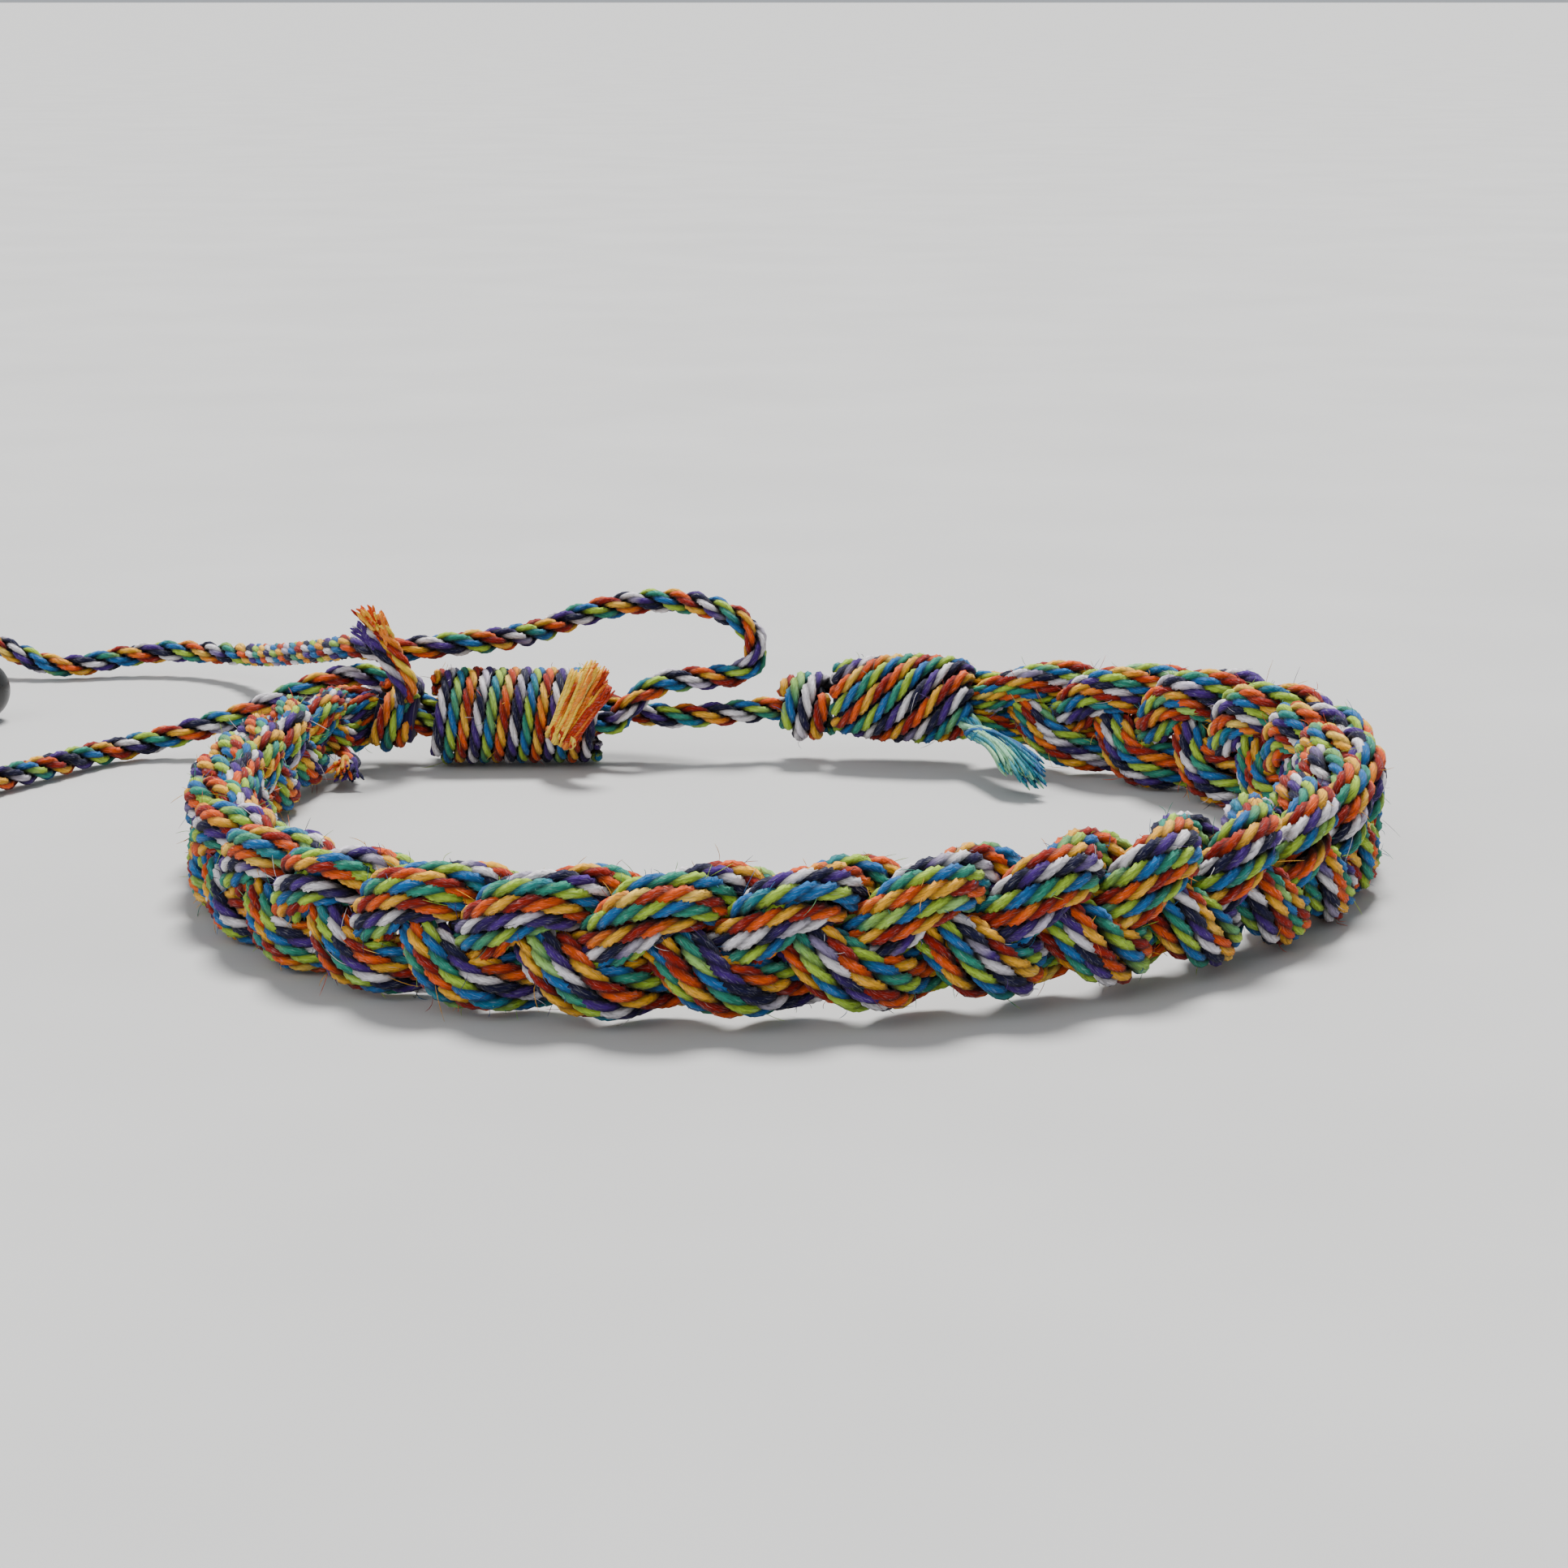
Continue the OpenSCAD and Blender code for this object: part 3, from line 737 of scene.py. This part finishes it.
def winding(pile, line, shape, kinds, lay, cord_r, tuck=(0.0, 0.0)):
    """Cords wound side by side round an axis, rising to the right as seen from the front.
    Shape gives [share of the length, outer radius]. Tuck is how far their ends turn inward."""
    p, q = (np.array(end, float) for end in line)
    length = np.linalg.norm(q - p)
    along = (q - p) / length
    out = unit(np.cross(along, (0, 0, 1)))
    up = np.cross(out, along)
    share, radius = np.array(shape, float).T
    t = np.linspace(cord_r / length, 1 - cord_r / length, WOUND_POINTS)
    middle = np.interp(t, share, radius) - cord_r
    for depth, near_end in zip(tuck, (t * length - cord_r, (1 - t) * length - cord_r)):
        middle = middle - depth * np.exp(-near_end / (TUCK_REACH * cord_r))
    for k, kind in enumerate(kinds):
        angle = TAU * k / len(kinds) + TAU * t * length / lay
        angle = angle + wander(len(t), 1, *TURN_WANDER)
        outward = np.cos(angle)[:, None] * out + np.sin(angle)[:, None] * up
        r = middle * (1 + wander(len(t), 1, *RADIUS_WANDER))
        path = p + along * (t * length)[:, None] + r[:, None] * outward
        path, *outward = even(path, WOUND_STEP, *outward.T)
        outward = unit(np.stack(outward, -1))
        pile.tube(path, cord_r, kind, CORD_LAY, outward=outward)
        count = len(path) // POINTS_A_HAIR
        hairs(pile, path, np.full(len(path), cord_r), outward, kind, count)


def wound_core(pile, line, radius, kind, inset=0.06):
    """The strands' ends inside a winding, seen only between its turns."""
    p, q = (np.array(end, float) for end in line)
    path = p + np.linspace(inset, 1 - inset, CORE_POINTS)[:, None] * (q - p)
    # The core has no open side, so the cloth's painted shade darkens it to about half.
    outward = np.zeros_like(path)
    pile.tube(path, radius, kind, 0, CORE_PROFILE, outward=outward, ply=2, tip=0.8)


pile = Pile()
winding(pile, SLIDING_KNOT, [(0, 2.55), (0.08, 2.75), (0.92, 2.75), (1, 2.55)],
        ORDER, lay=len(ORDER) * KNOT_LENGTH / KNOT_TURNS, cord_r=0.37)
winding(pile, SLIDING_KNOT, [(0, 2.05), (1, 2.05)],
        ORDER, lay=len(ORDER) * KNOT_LENGTH / KNOT_INNER_TURNS, cord_r=0.36)
part(pile.mesh("sliding_knot_cords"), "sliding_knot")

pile = Pile()
winding(pile, LEFT_BINDING, [(0, 2.2), (0.35, 2.1), (0.62, 1.75), (1, 1.4)],
        ["warm", "cool", "warm"], lay=2.1, cord_r=0.4)
wound_core(pile, LEFT_BINDING, 1.3, "violet")
part(pile.mesh("left_binding_cords"), "left_binding")

pile = Pile()
winding(pile, END_KNOT, [(0, 1.6), (0.25, 2.0), (0.6, 2.05), (1, 1.7)],
        ["warm", "violet", "cool"], lay=2.7, cord_r=0.47, tuck=(0.6, 0.0))
wound_core(pile, END_KNOT, 1.1, "violet", 0.2)
part(pile.mesh("end_knot_cords"), "end_knot")

pile = Pile()
spindle = [(0, 1.9), (0.15, 2.25), (0.35, 2.5), (0.6, 2.6), (0.8, 2.5), (1, 2.2)]
winding(pile, RIGHT_BINDING, spindle,
        ["warm", "violet", "cool", "warm", "cool", "violet", "warm", "violet", "cool", "warm",
         "cool"], lay=13.0, cord_r=0.42, tuck=(0.0, 0.7))
wound_core(pile, RIGHT_BINDING, 1.8, "violet")
part(pile.mesh("right_binding_cords"), "right_binding")

# The cut ends. Line runs from root to tip, curl is how far its middle bows, and held leads
# from the root to a place inside the piece that the cords come out of.
TUFTS = {
    "left_tuft": dict(
        line=((-20.9, 22.0, 5.0), (-23.4, 21.4, 9.6)), root_w=1.5, tip_w=2.5, thick=1.3,
        curl=(0, 0.3, 0), kinds=["gold", "warm", "violet"], stem=0.75, yarns=30, shade=0.5,
        held=(-0.43, 0.83, -1.1),
    ),
    "right_tuft": dict(
        line=((10.5, 21.7, 2.4), (13.5, 15.1, 0.9)), root_w=1.5, tip_w=3.4, thick=1.2,
        curl=(0, 0, 0.6), kinds=["sea", "sea", "sea", "sea"], stem=0.2, yarns=34,
        held=(-0.43, 1.2, 0.55),
    ),
    "knot_tuft": dict(
        line=((-12.5, 21.0, 2.1), (-10.1, 21.0, 6.5)), root_w=2.2, tip_w=3.0, thick=1.3,
        curl=(0, -0.4, 0), kinds=["gold", "gold", "gold", "gold"], stem=0.15, yarns=44,
        shade=1.5, held=(-0.05, 1.4, 0.2),
    ),
    "inner_tuft": dict(
        line=((-23.9, 20.2, 1.1), (-24.1, 17.4, 0.7)), root_w=1.0, tip_w=1.5, thick=0.9,
        curl=(0, 0, 0.3), kinds=["violet", "warm"], stem=0.5, yarns=18,
        held=(-0.85, 1.4, 0.6),
    ),
}
TUFT_CORD_R = 0.4
STEM_POINTS = 24
LEAD_POINTS = 9
LEAD_PASSES = 8
YARN_R = 0.1
YARN_POINTS = 12
YARN_PROFILE = np.ones(5)
# How far the yarns start back inside their cord, as a share of the tuft.
YARN_OVERLAP = 0.25
# Where a cord lies across the tuft's root, and how much further out its yarns open.
ROOT_SPREAD, OPEN_SPREAD = 0.62, 0.3
YARN_WANDER = (4, 0.06)


def led(path, held):
    """A cord's path with its lead from inside the piece that holds it, "held" from the root."""
    lead = path[0] + np.linspace(1, 0, LEAD_POINTS)[:-1, None] * np.array(held, float)
    path = np.vstack([lead, path])
    for _ in range(LEAD_PASSES):
        path[1:-1] = (path[:-2] + 2 * path[1:-1] + path[2:]) / 4
    return path


def cut_ends(name, line, root_w, tip_w, thick, curl, kinds, stem, yarns, held, shade=-1.1):
    """Cut cord ends: plied at the root, and opened into loose yarns towards the tip."""
    root, tip = (np.array(end, float) for end in line)
    curl = np.array(curl, float)
    along = tip - root
    side = unit(np.cross(along, curl))
    face = unit(np.cross(side, along))

    def at(t, across, deep):
        w = (root_w + (tip_w - root_w) * t) / 2
        d = thick / 2 * (1 - 0.4 * t * t)
        middle = root + along * t + curl * np.sin(math.pi * t)
        return middle + side * (across * w) + face * (deep * d)

    pile = Pile()
    n = len(kinds)
    for k, kind in enumerate(kinds):
        across = (k + 0.5) / n * 2 - 1
        deep = 0.35 if k % 2 else -0.35
        t = np.linspace(0, stem, STEM_POINTS)[:, None]
        path = led(at(t, ROOT_SPREAD * across, deep * 0.5), held)
        pile.tube(path, TUFT_CORD_R, kind, CORD_LAY, tip=0.7)
        for _ in range(yarns):
            reach = rng.uniform(0.86, 1.0) - 0.3 * across * across
            t = np.linspace(max(stem - YARN_OVERLAP, 0), reach, YARN_POINTS)[:, None]
            opened = np.clip((t - t[0]) / (1 - t[0]), 0, 1) ** 1.2
            x0, y0 = rng.uniform(-0.28, 0.28, 2)
            x1, y1 = rng.normal(0, 0.6 / n + 0.1), rng.normal(0, 0.4)
            path = at(t, across * (ROOT_SPREAD + OPEN_SPREAD * opened), deep * 0.5)
            path = path + side * (x0 * (1 - opened) + x1 * opened)
            path = path + face * (y0 * (1 - opened) + y1 * 0.8 * opened)
            wave = np.stack([wander(YARN_POINTS, 1, *YARN_WANDER) for _ in range(3)], 1)
            ply = int(np.clip(round(1 + shade * across + rng.normal(0, 0.5)), 0, 2))
            pile.tube(path + wave * opened, YARN_R, kind, 0, YARN_PROFILE, tip=0.4, ply=ply)
    part(pile.mesh(name + "_yarns"), name)


for name, facts in TUFTS.items():
    cut_ends(name, **facts)

# Floor and light
floor_material = bpy.data.materials.new("floor")
fn = Nodes(floor_material)
speck = fn.noise(fn.add("ShaderNodeTexCoord").outputs["Object"], 40.0, 3.0)
fn.join(fn.ramp(speck, [(0.3, grey(0.49)), (0.7, grey(0.53))]), fn.shader.inputs["Base Color"])
fn.shader.inputs["Roughness"].default_value = 0.8
FLOOR_NEAR, FLOOR_FAR, FLOOR_W = -3.0, 60.0, 40.0
floor_mesh = bpy.data.meshes.new("floor")
floor_mesh.from_pydata(
    [(x, y, 0.0) for y in (FLOOR_NEAR, FLOOR_FAR) for x in (-FLOOR_W, FLOOR_W)],
    [],
    [(0, 1, 3, 2)],
)
floor_mesh.materials.append(floor_material)
floor = bpy.data.objects.new("floor", floor_mesh)
bpy.context.scene.collection.objects.link(floor)

SKY = (0.9, 0.95, 1.0, 1)
SKY_STRENGTH = 0.52
world = bpy.data.worlds.new("world")
bpy.context.scene.world = world
world.use_nodes = True
world.node_tree.nodes["Background"].inputs["Color"].default_value = SKY
world.node_tree.nodes["Background"].inputs["Strength"].default_value = SKY_STRENGTH


def sun(name, place, angle, strength, colour=(1, 1, 1)):
    data = bpy.data.lights.new(name, "SUN")
    data.angle = math.radians(angle)
    data.energy = strength
    data.color = colour
    obj = bpy.data.objects.new(name, data)
    obj.location = place
    obj.rotation_euler = (-Vector(place)).to_track_quat("-Z", "Y").to_euler()
    bpy.context.scene.collection.objects.link(obj)


sun("key", (0.05, 0.26, 0.55), 18.0, 6.4, (1.0, 0.98, 0.95))
sun("fill", (-0.45, -0.45, 0.45), 50.0, 1.0)
